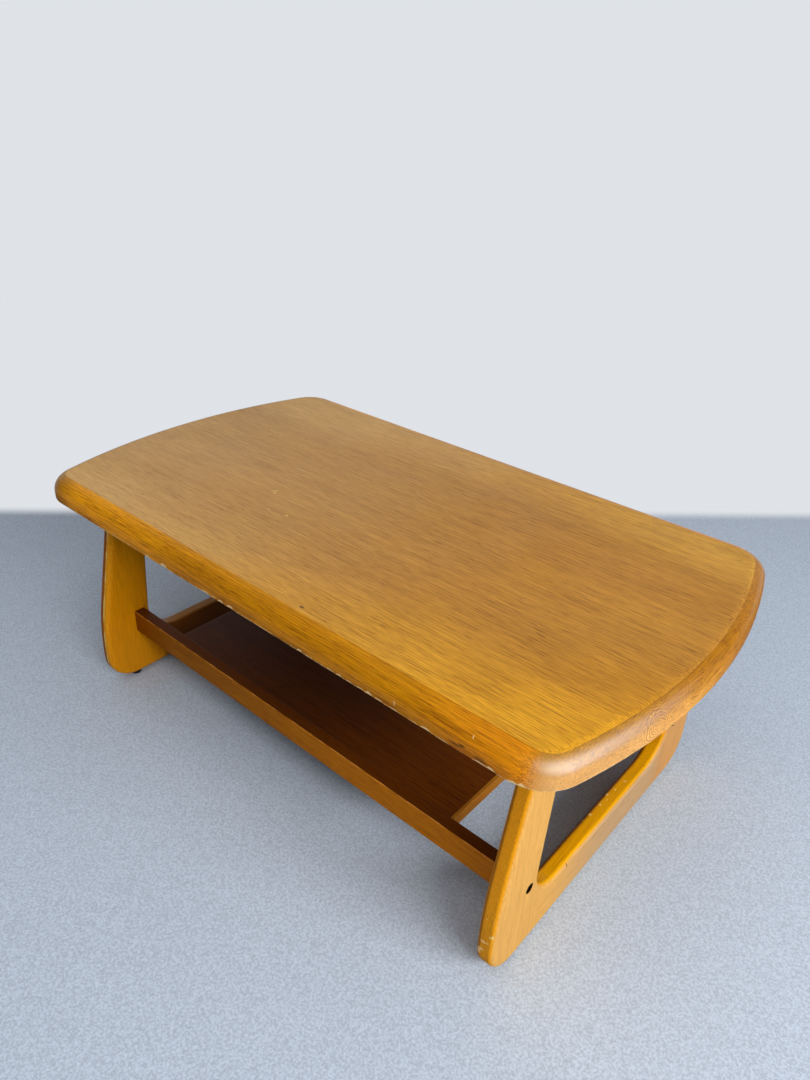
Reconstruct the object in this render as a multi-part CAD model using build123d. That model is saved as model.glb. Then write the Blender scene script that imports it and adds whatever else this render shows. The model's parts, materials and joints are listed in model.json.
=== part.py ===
"""Low centre table: a bowed, round-edged slab on two closed end frames.

Two long rails are bolted through the end frames and carry a magazine shelf. Nothing folds:
the frames, rails and top are fastened rigidly, and the table stands on four nailed glides.

Millimetres, +Z up. The origin is on the floor under the middle of the table, +X runs along
the length and -Y is the front long side.
"""
import os

from build123d import *

# ---- overall ----
table_length = 1050.0
table_width = 600.0
table_height = 410.0

# ---- slab top ----
slab_thickness = 36.0
end_radius = 870.0            # plan radius of the bowed short ends
corner_radius = 60.0          # plan radius of the four corners
edge_reach = 26.0             # how far the rounded rim reaches in over the top face
edge_drop = 23.0              # height of the rounded rim, above the upright band
lower_arris = 3.0             # eased lower edge of the upright band
face_veneer = 0.6
underside_veneer = 0.6
side_lipping_width = 45.0     # solid wood along the front and back edges
end_lipping_width = 75.0      # solid wood at the bowed ends
tongue_thickness = 8.0
tongue_depth = 10.0
glue_gap = 0.1                # room for glue round tongues and dowels

# ---- end frames ----
frame_end_inset = 107.0       # from the slab's end to a frame's centre plane
frame_thickness = 26.0
frame_top_inset = 78.5        # from the slab's long side to a leg, under the slab
frame_foot_inset = 26.5       # from the slab's long side to a leg, at its widest
knee_height = 121.0           # where the sloping flank would meet the upright foot
knee_radius = 520.0
toe_radius = 50.0
leg_top_width = 53.0          # front to back, at the slab's underside
leg_foot_width = 84.5         # front to back, at the foot rail's top
cutout_foot_radius = 56.0
cutout_top_radius = 15.0
foot_rail_height = 69.0
top_rail_height = 30.0
frame_roundover = 7.0
joint_inset = 8.0             # leg joints stand this far inside the cutout's flanks
frame_dowel_diameter = 10.0
frame_dowel_length = 50.0
foot_dowel_spacing = 32.0
foot_dowels_per_joint = 2
top_dowel_diameter = 8.0
top_dowel_length = 40.0

# ---- long rails ----
rail_beyond_cutout = 26.5     # a rail's outer face, past the cutout's foot
rail_thickness = 20.0
rail_height = 42.0
rail_underside = 96.0         # above the floor
rail_arris = 2.0

# ---- shelf ----
shelf_end_gap = 107.0         # between a frame's inner face and the shelf's end
shelf_thickness = 20.0
shelf_drop = 11.0             # shelf face below the rails' top faces
shelf_strip = 4.0             # solid strip on each short end
shelf_dowel_diameter = 8.0
shelf_dowel_length = 32.0
shelf_dowel_in_rail = 12.0
shelf_dowel_end_inset = 68.0  # from the shelf's end to its outermost dowels
shelf_dowels_per_side = 3

# ---- connector bolts, barrel nuts and the dowels beside them ----
bolt_diameter = 6.0
bolt_length = 60.0            # under the head
bolt_head_diameter = 13.0
bolt_head_height = 4.0
bolt_socket_flats = 4.0
bolt_socket_depth = 2.5
bolt_above_rail_middle = 5.0
bolt_clearance = 0.25         # radial, in wood
recess_diameter = 14.5
recess_depth = 7.0
nut_diameter = 10.0
nut_length = 14.0
nut_from_rail_end = 32.0
nut_clearance = 0.15          # radial, in the rail
thread_clearance = 0.1        # radial, bolt in nut and screws in their pilot holes
rail_dowel_diameter = 8.0
rail_dowel_length = 30.0
rail_dowel_in_frame = 12.0
rail_dowel_below_bolt = 16.0

# ---- screws that hold the slab ----
screw_diameter = 4.0
screw_length = 42.0           # under the head
screw_head_diameter = 8.0
screw_head_height = 3.0
screw_recess_diameter = 9.0
screw_recess_depth = 8.0
screw_leg_inset = 58.5        # from a leg to the screw nearest to it
screws_per_frame = 3
screw_slot_width = 1.2
screw_slot_depth = 1.4

# ---- glides ----
glide_height = 7.0
glide_diameter = 18.0
glide_bottom_round = 2.5
glide_toe_inset = 51.5        # from a leg's widest point to its glide's middle
nail_diameter = 2.5
nail_length = 22.0            # under the head
nail_head_diameter = 6.8
nail_head_height = 1.5
nail_head_recess = 3.0
nail_clearance = 0.1

# ---- places worked out from the sizes above ----
slab_underside = table_height - slab_thickness
frame_underside = glide_height
foot_rail_top = frame_underside + foot_rail_height
top_rail_underside = slab_underside - top_rail_height
frame_x = table_length / 2 - frame_end_inset
frame_inner_x = frame_x - frame_thickness / 2
frame_outer_x = frame_x + frame_thickness / 2
frame_top_depth = table_width - 2 * frame_top_inset
frame_foot_depth = table_width - 2 * frame_foot_inset
cutout_top_depth = frame_top_depth - 2 * leg_top_width
cutout_foot_depth = frame_foot_depth - 2 * leg_foot_width
screw_pitch = (cutout_top_depth - 2 * screw_leg_inset) / (screws_per_frame - 1)
rail_outer_spacing = cutout_foot_depth + 2 * rail_beyond_cutout
rail_y = (rail_outer_spacing - rail_thickness) / 2
rail_length = 2 * frame_inner_x
bolt_z = rail_underside + rail_height / 2 + bolt_above_rail_middle
shelf_top = rail_underside + rail_height - shelf_drop
shelf_middle_z = shelf_top - shelf_thickness / 2
shelf_length = rail_length - 2 * shelf_end_gap
shelf_width = rail_outer_spacing - 2 * rail_thickness
shelf_dowel_pitch = (shelf_length - 2 * shelf_dowel_end_inset) / (shelf_dowels_per_side - 1)
core_half_length = table_length / 2 - end_lipping_width
core_half_width = table_width / 2 - side_lipping_width
tongue_z = slab_underside + slab_thickness / 2
nut_x = frame_inner_x - nut_from_rail_end
glide_y = frame_foot_depth / 2 - glide_toe_inset

SIDES = {"left": -1, "right": 1}
ENDS = {"front": -1, "back": 1}
TOLERANCE = 0.01
HEXAGON = 6
UP = (0, 0, 1)


def peg(start, direction, diameter, length):
    """A round bar from start along direction."""
    bar = Cylinder(diameter / 2, length, align=(Align.CENTER, Align.CENTER, Align.MIN))
    return Plane(origin=start, z_dir=direction) * bar


def block(low, high):
    """A box between two opposite corners."""
    size = [b - a for a, b in zip(low, high)]
    middle = [(a + b) / 2 for a, b in zip(low, high)]
    return Pos(*middle) * Box(*size)


def group(shapes):
    """Separate solids that share one node."""
    return Compound([solid for shape in shapes for solid in shape.solids()])


def spread(count, pitch):
    """Places of count things, pitch apart, about the middle."""
    return [pitch * (index - (count - 1) / 2) for index in range(count)]


# ---- slab ----

def slab_plan(inset):
    """The slab's outline seen from above, moved in by inset."""
    bow_x = table_length / 2 - end_radius
    bows = (Pos(bow_x, 0) * Circle(end_radius - inset)) & (Pos(-bow_x, 0) * Circle(end_radius - inset))
    plan = bows & Rectangle(table_length, table_width - 2 * inset)
    return fillet(plan.vertices(), corner_radius - inset)


def rim_section():
    """Section of the slab's rim: X outward from the flat top's edge, Y down from the top face."""
    band = slab_thickness - edge_drop
    quarter = Pos(edge_reach / 2, edge_drop / 2) * Rectangle(edge_reach, edge_drop)
    dome = (Pos(0, edge_drop) * Ellipse(edge_reach, edge_drop)) & quarter
    upright = Pos(edge_reach / 2, edge_drop + band / 2) * Rectangle(edge_reach, band)
    section = dome + upright
    arris = section.vertices().group_by(Axis.Y)[-1].sort_by(Axis.X)[-1]
    return fillet(arris, lower_arris)


def whole_slab():
    """The slab in one piece, with its rounded rim."""
    flat = Pos(0, 0, table_height) * slab_plan(edge_reach)
    path = flat.face().outer_wire()
    start = path @ 0
    tangent = path % 0
    outward = tangent.cross(Vector(*UP))
    rim = sweep(Plane(origin=start, x_dir=outward, z_dir=tangent) * rim_section(), path=path)
    return extrude(flat, -slab_thickness) + rim


def side_tongue(end, gap):
    """The tongue of the front or back lipping; gap widens it into its groove."""
    low_y, high_y = sorted((end * core_half_width, end * (core_half_width - tongue_depth - gap)))
    half = tongue_thickness / 2 + gap
    reach = core_half_length - tongue_depth + gap
    return block((-reach, low_y, tongue_z - half), (reach, high_y, tongue_z + half))


def end_tongue(side, gap):
    """The tongue of the left or right lipping; gap widens it into its groove."""
    low_x, high_x = sorted((side * core_half_length, side * (core_half_length - tongue_depth - gap)))
    half = tongue_thickness / 2 + gap
    reach = core_half_width - 2 * tongue_depth + gap
    return block((low_x, -reach, tongue_z - half), (high_x, reach, tongue_z + half))


def top_screw_places():
    """Where the slab's screws start, at the bottom of their recesses."""
    z = top_rail_underside + screw_recess_depth
    return [(side * frame_x, y, z) for side in SIDES.values() for y in spread(screws_per_frame, screw_pitch)]


def top_parts():
    """The slab's veneers, core and lippings."""
    slab = whole_slab()
    veneer_z = table_height - face_veneer
    beyond = table_length
    body = slab & block((-beyond, -beyond, slab_underside), (beyond, beyond, veneer_z))
    parts = {"top_face_veneer": slab & block((-beyond, -beyond, veneer_z), (beyond, beyond, table_height))}

    holes = []
    for place in top_screw_places():
        holes.append(peg(place, UP, screw_diameter + 2 * thread_clearance, screw_length + glue_gap))
    core_low = (-core_half_length, -core_half_width, slab_underside + underside_veneer)
    core = body & block(core_low, (core_half_length, core_half_width, veneer_z)) - holes
    low_veneer_top = (core_half_length, core_half_width, slab_underside + underside_veneer)
    low_veneer = block((-core_half_length, -core_half_width, slab_underside), low_veneer_top)
    parts["top_underside_veneer"] = low_veneer - holes

    for name, end in ENDS.items():
        inner = end * core_half_width
        low = (-core_half_length, min(inner, end * beyond), slab_underside)
        high = (core_half_length, max(inner, end * beyond), veneer_z)
        parts[f"top_{name}_lipping"] = (body & block(low, high)) + side_tongue(end, 0)
        core -= side_tongue(end, glue_gap)
    for name, side in SIDES.items():
        inner = side * core_half_length
        low = (min(inner, side * beyond), -beyond, slab_underside)
        high = (max(inner, side * beyond), beyond, veneer_z)
        parts[f"top_{name}_end_lipping"] = (body & block(low, high)) + end_tongue(side, 0)
        core -= end_tongue(side, glue_gap)
    parts["top_core_panel"] = core
    return parts


# ---- end frames ----

def flank_y(z):
    """Half the cutout's depth at a height."""
    foot = cutout_foot_depth / 2
    top = cutout_top_depth / 2
    return foot + (top - foot) * (z - foot_rail_top) / (slab_underside - foot_rail_top)


def frame_outline():
    """The end frame seen from the end: X is the table's Y, Y is height."""
    top = frame_top_depth / 2
    foot = frame_foot_depth / 2
    right_side = [(foot, frame_underside), (foot, knee_height), (top, slab_underside)]
    left_side = [(-y, z) for y, z in reversed(right_side)]
    outer = Polygon(*right_side, *left_side, align=None)
    outer = fillet(outer.vertices().group_by(Axis.Y)[1], knee_radius)
    outer = fillet(outer.vertices().group_by(Axis.Y)[0], toe_radius)

    cut_foot = flank_y(foot_rail_top)
    cut_top = flank_y(top_rail_underside)
    right_flank = [(cut_foot, foot_rail_top), (cut_top, top_rail_underside)]
    left_flank = [(-y, z) for y, z in reversed(right_flank)]
    cutout = Polygon(*right_flank, *left_flank, align=None)
    cutout = fillet(cutout.vertices().group_by(Axis.Y)[0], cutout_foot_radius)
    cutout = fillet(cutout.vertices().group_by(Axis.Y)[-1], cutout_top_radius)
    return outer - cutout


def whole_frame():
    """An end frame in one piece about X = 0, its edges rounded over except under the slab."""
    frame = extrude(Plane.YZ * frame_outline(), frame_thickness / 2, both=True)

    def is_rounded(edge):
        middle = edge.center()
        on_face = abs(middle.X) > frame_thickness / 2 - TOLERANCE
        return on_face and middle.Z < slab_underside - TOLERANCE

    return fillet(frame.edges().filter_by(is_rounded), frame_roundover)


def frame_dowels(gap):
    """The dowels of a frame about X = 0; gap widens them into their holes."""
    split_z = (foot_rail_top + top_rail_underside) / 2
    foot_joint = flank_y(split_z) - joint_inset
    top_joint = flank_y(top_rail_underside) - joint_inset
    foot_z = frame_underside + foot_rail_height / 2
    top_z = slab_underside - top_rail_height / 2
    dowels = []
    for end in ENDS.values():
        for offset in spread(foot_dowels_per_joint, foot_dowel_spacing):
            length = frame_dowel_length + 2 * gap
            start = (0, end * foot_joint - length / 2, foot_z + offset)
            dowels.append(peg(start, (0, 1, 0), frame_dowel_diameter + 2 * gap, length))
        length = top_dowel_length + 2 * gap
        start = (0, end * top_joint - length / 2, top_z)
        dowels.append(peg(start, (0, 1, 0), top_dowel_diameter + 2 * gap, length))
    return dowels


def frame_pieces():
    """The four boards of a frame about X = 0, before its bolt holes."""
    frame = whole_frame() - frame_dowels(glue_gap)
    split_z = (foot_rail_top + top_rail_underside) / 2
    foot_joint = flank_y(split_z) - joint_inset
    top_joint = flank_y(top_rail_underside) - joint_inset
    far_y = frame_foot_depth
    half = frame_thickness
    pieces = {
        "foot_rail": frame & block((-half, -foot_joint, 0), (half, foot_joint, split_z)),
        "top_rail": frame & block((-half, -top_joint, split_z), (half, top_joint, slab_underside)),
    }
    for name, end in ENDS.items():
        low_y = sorted((end * foot_joint, end * far_y))
        high_y = sorted((end * top_joint, end * far_y))
        lower = block((-half, low_y[0], 0), (half, low_y[1], split_z))
        upper = block((-half, high_y[0], split_z), (half, high_y[1], slab_underside))
        pieces[f"{name}_leg"] = frame & (lower + upper)
    return pieces


def leg_holes(side, end):
    """A leg's bolt hole, head recess, rail dowel hole and glide nail hole."""
    y = end * rail_y
    inward = (-side, 0, 0)
    outer_face = (side * frame_outer_x, y, bolt_z)
    dowel_z = bolt_z - rail_dowel_below_bolt
    dowel_start = (side * (frame_inner_x + rail_dowel_in_frame + glue_gap), y, dowel_z)
    nail_reach = nail_length + nail_head_recess - glide_height + glue_gap
    return [
        peg(outer_face, inward, bolt_diameter + 2 * bolt_clearance, frame_thickness),
        peg(outer_face, inward, recess_diameter, recess_depth),
        peg(dowel_start, inward, rail_dowel_diameter + 2 * glue_gap, rail_dowel_in_frame + glue_gap),
        peg((side * frame_x, end * glide_y, frame_underside), UP, nail_diameter, nail_reach),
    ]


def frame_parts():
    """Both end frames in place."""
    parts = {}
    pieces = frame_pieces()
    for side_name, side in SIDES.items():
        for piece_name, piece in pieces.items():
            parts[f"{side_name}_frame_{piece_name}"] = Pos(side * frame_x, 0, 0) * piece
        for end_name, end in ENDS.items():
            parts[f"{side_name}_frame_{end_name}_leg"] -= leg_holes(side, end)
        for x, y, z in top_screw_places():
            hole = peg((x, y, top_rail_underside), UP, screw_diameter + 2 * bolt_clearance, top_rail_height)
            recess = peg((x, y, top_rail_underside), UP, screw_recess_diameter, screw_recess_depth)
            parts[f"{side_name}_frame_top_rail"] -= hole + recess
        dowels = [Pos(side * frame_x, 0, 0) * dowel for dowel in frame_dowels(0)]
        parts[f"{side_name}_frame_dowels"] = group(dowels)
    return parts


# ---- long rails and shelf ----

def shelf_dowel_pegs(gap):
    """The shelf's dowels by side of the table; gap widens them into their holes."""
    face_y = rail_outer_spacing / 2 - rail_thickness
    pegs = []
    for end in ENDS.values():
        for x in spread(shelf_dowels_per_side, shelf_dowel_pitch):
            start = (x, end * (face_y + shelf_dowel_in_rail + gap), shelf_middle_z)
            length = shelf_dowel_length + 2 * gap
            pegs.append(peg(start, (0, -end, 0), shelf_dowel_diameter + 2 * gap, length))
    return pegs


def rail_parts():
    """The two long rails, drilled for bolts, nuts and dowels."""
    board = Box(rail_length, rail_thickness, rail_height)
    board = fillet(board.edges().filter_by(Axis.X), rail_arris)
    shelf_holes = shelf_dowel_pegs(glue_gap)
    bolt_reach = bolt_length + recess_depth - frame_thickness + glue_gap
    dowel_reach = rail_dowel_length - rail_dowel_in_frame + glue_gap
    parts = {}
    for name, end in ENDS.items():
        y = end * rail_y
        rail = Pos(0, y, rail_underside + rail_height / 2) * board
        rail -= shelf_holes
        for side in SIDES.values():
            inward = (-side, 0, 0)
            rail_end = (side * frame_inner_x, y, bolt_z)
            dowel_end = (side * frame_inner_x, y, bolt_z - rail_dowel_below_bolt)
            inner_face = (side * nut_x, end * (rail_y - rail_thickness / 2), bolt_z)
            nut_depth = (rail_thickness + nut_length) / 2
            rail -= peg(rail_end, inward, bolt_diameter + 2 * bolt_clearance, bolt_reach)
            rail -= peg(dowel_end, inward, rail_dowel_diameter + 2 * glue_gap, dowel_reach)
            rail -= peg(inner_face, (0, end, 0), nut_diameter + 2 * nut_clearance, nut_depth)
        parts[f"{name}_long_rail"] = rail
    return parts


def shelf_parts():
    """The shelf panel, its end strips and its dowels."""
    half_length = shelf_length / 2
    half_width = shelf_width / 2
    panel_half = half_length - shelf_strip
    low_z = shelf_top - shelf_thickness
    panel = block((-panel_half, -half_width, low_z), (panel_half, half_width, shelf_top))
    parts = {"shelf_panel": panel - shelf_dowel_pegs(glue_gap)}
    for name, side in SIDES.items():
        x = sorted((side * panel_half, side * half_length))
        parts[f"shelf_{name}_edge_strip"] = block((x[0], -half_width, low_z), (x[1], half_width, shelf_top))
    parts["shelf_dowels"] = group(shelf_dowel_pegs(0))
    return parts


# ---- hardware ----

def connector_bolt(side, end):
    """A socket-head connector bolt, its head on the floor of its recess."""
    inward = (-side, 0, 0)
    seat_x = side * (frame_outer_x - recess_depth)
    crown_x = side * (frame_outer_x - recess_depth + bolt_head_height)
    y = end * rail_y
    shank = peg((seat_x, y, bolt_z), inward, bolt_diameter, bolt_length)
    head = peg((crown_x, y, bolt_z), inward, bolt_head_diameter, bolt_head_height)
    socket_plane = Plane(origin=(crown_x, y, bolt_z), z_dir=inward)
    hexagon = RegularPolygon(bolt_socket_flats / 2, HEXAGON, major_radius=False)
    return head + shank - extrude(socket_plane * hexagon, bolt_socket_depth)


def barrel_nut(side, end):
    """A cross dowel in the rail, threaded on its bolt."""
    start = (side * nut_x, end * rail_y - nut_length / 2, bolt_z)
    barrel = peg(start, (0, 1, 0), nut_diameter, nut_length)
    bore_start = (side * (nut_x + nut_diameter), end * rail_y, bolt_z)
    return barrel - peg(bore_start, (-side, 0, 0), bolt_diameter + 2 * thread_clearance, 2 * nut_diameter)


def rail_dowel(side, end):
    """The dowel that keeps a long rail from turning on its bolt."""
    start = (side * (frame_inner_x + rail_dowel_in_frame), end * rail_y, bolt_z - rail_dowel_below_bolt)
    return peg(start, (-side, 0, 0), rail_dowel_diameter, rail_dowel_length)


def top_screw(place):
    """A slotted screw that holds the slab, its head under place."""
    x, y, z = place
    underface = z - screw_head_height
    screw = peg(place, UP, screw_diameter, screw_length)
    screw += peg((x, y, underface), UP, screw_head_diameter, screw_head_height)
    slot_length = screw_head_diameter + screw_slot_width
    slot = Pos(x, y, underface) * Box(slot_length, screw_slot_width, 2 * screw_slot_depth)
    return screw - slot


def glide(side, end):
    """A nailed foot glide with a recess for the nail's head."""
    place = (side * frame_x, end * glide_y, 0)
    foot = peg(place, UP, glide_diameter, glide_height)
    foot = fillet(foot.edges().group_by(Axis.Z)[0], glide_bottom_round)
    foot -= peg(place, UP, nail_head_diameter + 2 * nail_clearance, nail_head_recess)
    return foot - peg(place, UP, nail_diameter + 2 * nail_clearance, glide_height)


def glide_nail(side, end):
    """The nail of one glide, its head at the bottom of the glide's recess."""
    x = side * frame_x
    y = end * glide_y
    head = peg((x, y, nail_head_recess - nail_head_height), UP, nail_head_diameter, nail_head_height)
    return head + peg((x, y, nail_head_recess), UP, nail_diameter - 2 * nail_clearance, nail_length)


def hardware_parts():
    """Bolts, nuts, dowels, screws, glides and nails."""
    corners = [(side, end) for side in SIDES.values() for end in ENDS.values()]
    parts = {
        "connector_bolts": group(connector_bolt(*corner) for corner in corners),
        "barrel_nuts": group(barrel_nut(*corner) for corner in corners),
        "rail_dowels": group(rail_dowel(*corner) for corner in corners),
        "top_screws": group(top_screw(place) for place in top_screw_places()),
        "glide_nails": group(glide_nail(*corner) for corner in corners),
    }
    for end_name, end in ENDS.items():
        for side_name, side in SIDES.items():
            parts[f"{end_name}_{side_name}_glide"] = glide(side, end)
    return parts


def main():
    """Builds every piece and writes one STEP file for each node."""
    os.makedirs("parts", exist_ok=True)
    nodes = {**top_parts(), **frame_parts(), **rail_parts(), **shelf_parts(), **hardware_parts()}
    for name, shape in nodes.items():
        export_step(shape, f"parts/{name}.step")
    print(len(nodes), "nodes written")


main()
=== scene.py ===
import json
import math
import random

import bmesh
import bpy
from mathutils import Matrix, Quaternion, Vector


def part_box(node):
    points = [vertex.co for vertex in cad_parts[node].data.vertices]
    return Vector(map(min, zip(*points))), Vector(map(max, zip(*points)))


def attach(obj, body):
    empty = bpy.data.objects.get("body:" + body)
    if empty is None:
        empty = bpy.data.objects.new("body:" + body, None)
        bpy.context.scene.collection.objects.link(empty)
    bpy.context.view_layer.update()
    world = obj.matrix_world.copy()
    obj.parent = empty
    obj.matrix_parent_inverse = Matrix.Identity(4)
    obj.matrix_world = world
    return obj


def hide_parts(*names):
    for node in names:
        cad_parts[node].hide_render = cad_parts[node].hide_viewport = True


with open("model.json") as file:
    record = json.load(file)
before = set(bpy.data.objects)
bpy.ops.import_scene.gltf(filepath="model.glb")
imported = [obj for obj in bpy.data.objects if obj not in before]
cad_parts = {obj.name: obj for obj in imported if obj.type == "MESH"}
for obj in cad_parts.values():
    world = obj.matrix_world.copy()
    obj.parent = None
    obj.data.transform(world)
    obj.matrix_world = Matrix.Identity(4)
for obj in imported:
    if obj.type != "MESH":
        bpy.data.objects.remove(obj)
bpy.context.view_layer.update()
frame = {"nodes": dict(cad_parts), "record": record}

# Looks of the low centre table: the slab's worn rim and veneer as meshes, procedural wood on
# every piece, soft studio light and the camera. Metres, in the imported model's own frame.

MM = 0.001
BODY = "root"

# ---- sizes read from the frame ----
TOP_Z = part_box("top_face_veneer")[1].z
UNDER_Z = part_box("top_front_lipping")[0].z
HALF_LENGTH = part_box("top_right_end_lipping")[1].x
HALF_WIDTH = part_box("top_back_lipping")[1].y
SEAM_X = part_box("top_core_panel")[1].x
SEAM_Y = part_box("top_core_panel")[1].y
VENEER = TOP_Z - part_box("top_face_veneer")[0].z
FRAME_X_FAR = sum(corner.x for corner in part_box("left_frame_foot_rail")) / 2
BOLTS_LOW, BOLTS_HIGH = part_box("connector_bolts")
BOLT_Z = (BOLTS_LOW.z + BOLTS_HIGH.z) / 2
BOLT_Y = BOLTS_HIGH.y - (BOLTS_HIGH.z - BOLT_Z)
RECESS_PLAY = 0.75 * MM       # between a bolt's head and the side of its recess
RECESS = BOLTS_HIGH.z - BOLT_Z + RECESS_PLAY

# ---- the slab's own form, as in the solids ----
END_RADIUS = 870 * MM
CORNER_RADIUS = 60 * MM
RIM_REACH = 26 * MM
RIM_DROP = 23 * MM
ARRIS = 3 * MM
SIDE_SEAM = 24 * MM           # veneer's edge, in from the long sides
END_SEAM = 17 * MM            # veneer's edge, in from the bowed ends
END_SEAM_TURN = math.radians(70)    # outline's turn from the long side that reaches the end's seam
REBATE = 2 * MM               # depth of the lippings' rebate under the veneer's edge
LAND = 30 * MM                # how far in the rim's rows reach

# ---- resolution of the slab's meshes ----
FRONT_STEP = 1.4 * MM
BACK_STEP = 4 * MM
CORNER_STEPS = 44
BOW_STEPS = 160
VENEER_ROWS = 5
DOME_ROWS = 14
BAND_ROWS = 7
ARRIS_ROWS = 6
SMOOTH_ANGLE = math.radians(38)


# ---------------------------------------------------------------- slab geometry

def corner_centre():
    """Middle of the rounded corner in plan, where bowed end and long side meet."""
    corner_y = HALF_WIDTH - CORNER_RADIUS
    spine_radius = END_RADIUS - CORNER_RADIUS
    return HALF_LENGTH - END_RADIUS + math.sqrt(spine_radius ** 2 - corner_y ** 2), corner_y


def slab_stations():
    """Places round the slab, anticlockwise from the left end of the front.

    Each is a spine point and an outward normal. The outline at any inset is the spine point plus
    the normal times (CORNER_RADIUS - inset)."""
    bow_x = HALF_LENGTH - END_RADIUS
    spine_radius = END_RADIUS - CORNER_RADIUS
    corner_x, corner_y = corner_centre()
    turn = math.asin(corner_y / spine_radius)
    quarter = math.pi / 2
    stations = []

    def line(x_from, x_to, y, step):
        count = round(abs(x_to - x_from) / step)
        for index in range(count):
            x = x_from + (x_to - x_from) * index / count
            stations.append((Vector((x, y)), Vector((0, math.copysign(1, y)))))

    def arc(centre, radius, start, end, count):
        for index in range(count):
            angle = start + (end - start) * index / count
            outward = Vector((math.cos(angle), math.sin(angle)))
            stations.append((Vector(centre) + radius * outward, outward))

    line(-corner_x, corner_x, -corner_y, FRONT_STEP)
    arc((corner_x, -corner_y), 0, -quarter, -turn, CORNER_STEPS)
    arc((bow_x, 0), spine_radius, -turn, turn, BOW_STEPS)
    arc((corner_x, corner_y), 0, turn, quarter, CORNER_STEPS)
    line(corner_x, -corner_x, corner_y, BACK_STEP)
    arc((-corner_x, corner_y), 0, quarter, math.pi - turn, CORNER_STEPS)
    arc((-bow_x, 0), spine_radius, math.pi - turn, math.pi + turn, BOW_STEPS)
    arc((-corner_x, -corner_y), 0, math.pi + turn, 3 * quarter, CORNER_STEPS)
    return stations


def seam_inset(outward):
    """How far in the veneer stops: further along the long sides than round the ends."""
    share = min(1, abs(outward.x) / math.sin(END_SEAM_TURN))
    share = share * share * (3 - 2 * share)
    return SIDE_SEAM + (END_SEAM - SIDE_SEAM) * share


def dome(angle):
    """Inset and height on the rounded rim; angle 0 is the flat top's edge, 90 degrees the band."""
    return RIM_REACH * (1 - math.sin(angle)), TOP_Z - RIM_DROP * (1 - math.cos(angle))


def dome_angle(inset):
    """Angle on the rounded rim at an inset."""
    return math.asin(1 - inset / RIM_REACH)


def body_rows(seam):
    """Section of the solid rim from the veneer's rebate round to the underside: (inset, height)."""
    rows = [(LAND, TOP_Z - VENEER), (LAND, TOP_Z - REBATE), (seam, TOP_Z - REBATE)]
    first = dome_angle(seam)
    for index in range(DOME_ROWS + 1):
        rows.append(dome(first + (math.pi / 2 - first) * index / DOME_ROWS))
    band_top = TOP_Z - RIM_DROP
    band_low = UNDER_Z + ARRIS
    for index in range(1, BAND_ROWS + 1):
        rows.append((0, band_top + (band_low - band_top) * index / BAND_ROWS))
    for index in range(1, ARRIS_ROWS + 1):
        angle = math.pi / 2 * index / ARRIS_ROWS
        rows.append((ARRIS * (1 - math.cos(angle)), band_low - ARRIS * math.sin(angle)))
    rows.append((ARRIS * 2, UNDER_Z))
    rows.append((LAND, UNDER_Z))
    return rows


def veneer_rows(seam):
    """Section of the face veneer's edge: (inset, height)."""
    rows = [(LAND, TOP_Z)]
    last = dome_angle(seam)
    for index in range(VENEER_ROWS + 1):
        rows.append(dome(last * index / VENEER_ROWS))
    rows += [(seam, TOP_Z - REBATE), (LAND, TOP_Z - REBATE), (LAND, TOP_Z - VENEER)]
    return rows


def swept(rows_at):
    """A closed mesh swept round the slab: rows_at(seam inset) gives the section."""
    bm = bmesh.new()
    rings = []
    for spine, outward in slab_stations():
        ring = []
        for inset, height in rows_at(seam_inset(outward)):
            flat = spine + outward * (CORNER_RADIUS - inset)
            ring.append(bm.verts.new((flat.x, flat.y, height)))
        rings.append(ring)
    for ring, after in zip(rings, rings[1:] + rings[:1]):
        for row in range(len(ring) - 1):
            bm.faces.new((ring[row], ring[row + 1], after[row + 1], after[row]))
    bm.faces.new([ring[0] for ring in rings])
    bm.faces.new([ring[-1] for ring in reversed(rings)])
    bmesh.ops.recalc_face_normals(bm, faces=bm.faces)
    return bm


def cut_off(bm, point, normal):
    """Removes what lies beyond a plane and closes the cut."""
    geometry = bm.verts[:] + bm.edges[:] + bm.faces[:]
    cut = bmesh.ops.bisect_plane(bm, geom=geometry, plane_co=point, plane_no=normal, clear_outer=True)
    edges = [item for item in cut["geom_cut"] if isinstance(item, bmesh.types.BMEdge)]
    bmesh.ops.edgeloop_fill(bm, edges=edges)


def show(name, bm, finish, replaced):
    """Turns a bmesh into a piece that stands for CAD nodes."""
    bmesh.ops.recalc_face_normals(bm, faces=bm.faces)
    mesh = bpy.data.meshes.new(name)
    bm.to_mesh(mesh)
    bm.free()
    mesh.materials.append(finish)
    mesh.shade_smooth()
    mesh.set_sharp_from_angle(angle=SMOOTH_ANGLE)
    piece = bpy.data.objects.new(name, mesh)
    bpy.context.scene.collection.objects.link(piece)
    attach(piece, BODY)
    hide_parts(*replaced)
    return piece


# ---------------------------------------------------------------- chips along the front's lower edge

# Worn places on the front rim's lower edge, in millimetres: place along X, length, height, depth
EDGE_CHIPS = [
    (-277, 9, 3.0, 0.9), (-238, 10, 2.5, 0.8), (-189, 7, 4.5, 1.2), (-150, 12, 6.5, 1.7),
    (-56, 17, 4.0, 1.4), (-38, 9, 3.0, 0.9), (-23, 9, 4.5, 1.3), (-3, 9, 5.5, 1.6),
    (129, 8, 4.5, 1.6), (181, 10, 3.0, 1.1), (196, 8, 4.0, 1.3), (211, 12, 3.0, 1.2),
    (229, 10, 3.5, 1.3), (243, 8, 5.0, 1.4), (258, 11, 3.5, 1.3), (281, 16, 3.0, 1.0),
    (326, 11, 4.5, 1.5), (398, 12, 3.5, 1.1), (411, 9, 4.5, 1.4), (438, 9, 5.0, 1.4),
    (447, 7, 6.5, 1.3), (462, 11, 5.0, 1.2),
]
CHIP_SEED = 41
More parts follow.
